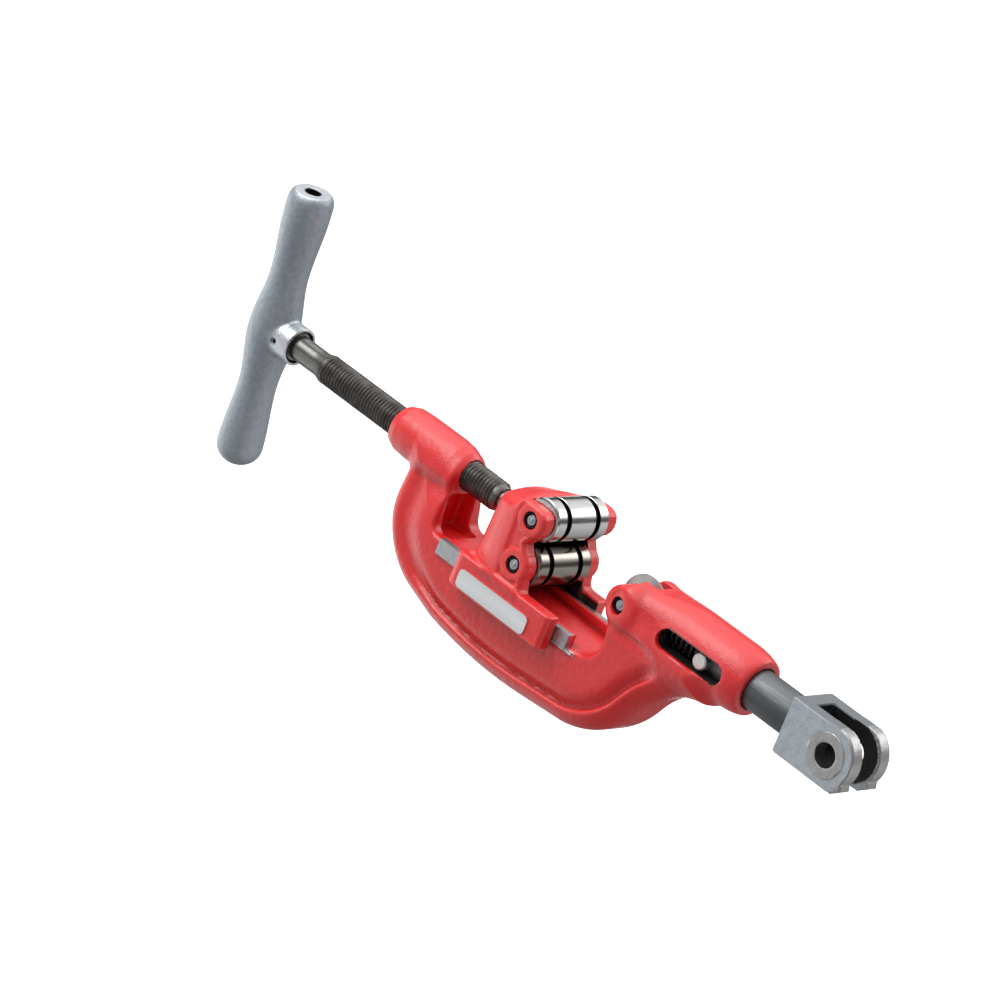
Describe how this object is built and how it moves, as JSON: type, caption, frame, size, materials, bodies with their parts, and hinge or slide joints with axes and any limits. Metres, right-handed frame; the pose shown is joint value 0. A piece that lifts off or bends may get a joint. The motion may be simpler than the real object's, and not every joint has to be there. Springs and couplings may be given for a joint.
{
  "type": "pipe cutter",
  "caption": "Wheel pipe cutter for a threading machine: C frame, screw-fed roller slide, cutting wheel, T handle and a sprung clevis arm.",
  "frame": {"origin": "centre of the clevis bore, midway between the ears", "axes": "X along the feed screw and spindle, +X towards the clevis; Y along the clevis bore, the wheel and the rollers; +Z towards the open side of the C frame"},
  "size_m": [0.5354, 0.0675, 0.1881],
  "materials": {
    "frame_enamel": "cast iron under glossy red enamel, with bare machined ways",
    "slide_enamel": "cast iron under glossy red enamel",
    "pin_steel": "turned steel, dull grey ends",
    "black_ring": "black oxide",
    "washer_steel": "hardened steel",
    "wheel_steel": "hardened and ground tool steel",
    "roller_steel": "polished steel with dark turned grooves",
    "plate_aluminium": "brushed aluminium, blank",
    "keeper_steel": "mill finish",
    "black_screw": "black oxide",
    "screw_steel": "brown-black oxide thread with a ground shank",
    "handle_aluminium": "cast, sprayed blue-grey metallic",
    "clevis_paint": "grey metallic paint with bare machined ends",
    "spindle_steel": "turned steel, brushed lengthways",
    "bright_pin": "bright turned steel",
    "spring_steel": "oiled black spring wire"
  },
  "bodies": {
    "arm": {"clevis": "clevis_paint", "spindle": "spindle_steel", "stop_pin": "bright_pin"},
    "frame": {"c_frame": "frame_enamel", "wheel_pin": "pin_steel", "wheel_pin_rings": "black_ring", "wheel_washers": "washer_steel", "float_spring": "spring_steel"},
    "wheel": {"cutter_wheel": "wheel_steel"},
    "slide": {"slide_housing": "slide_enamel", "upper_roller_pin": "pin_steel", "lower_roller_pin": "pin_steel", "roller_pin_rings": "black_ring", "name_plate": "plate_aluminium", "way_keepers": "keeper_steel", "keeper_screws": "black_screw", "screw_lock_pins": "pin_steel", "thrust_button": "washer_steel"},
    "upper_roll": {"upper_roller": "roller_steel"},
    "lower_roll": {"lower_roller": "roller_steel"},
    "screw": {"feed_screw": "screw_steel", "t_handle": "handle_aluminium", "handle_pin": "black_screw"}
  },
  "joints": [
    {"name": "float_slide", "type": "slide", "parent": "arm", "child": "frame", "axis": [1, 0, 0], "range_m": [-0.013, 0.016], "stiffness_N_per_m": 2500, "deforming": ["float_spring"]},
    {"name": "slide_travel", "type": "slide", "parent": "frame", "child": "slide", "axis": [1, 0, 0], "range_m": [-0.0171, 0.0401]},
    {"name": "feed_turn", "type": "hinge", "parent": "slide", "child": "screw", "pos_m": [-0.4, 0, 0], "axis": [1, 0, 0], "range_deg": [-2410, 5660]},
    {"name": "wheel_spin", "type": "hinge", "parent": "frame", "child": "wheel", "pos_m": [-0.1648, 0, 0], "axis": [0, 1, 0], "continuous": true},
    {"name": "upper_roller_spin", "type": "hinge", "parent": "slide", "child": "upper_roll", "pos_m": [-0.2379, 0, 0.0146], "axis": [0, 1, 0], "continuous": true},
    {"name": "lower_roller_spin", "type": "hinge", "parent": "slide", "child": "lower_roll", "pos_m": [-0.2379, 0, -0.0146], "axis": [0, 1, 0], "continuous": true}
  ],
  "couplings": [
    {"joint": "slide_travel", "follows": "feed_turn", "m_per_rad": 0.00040425}
  ]
}
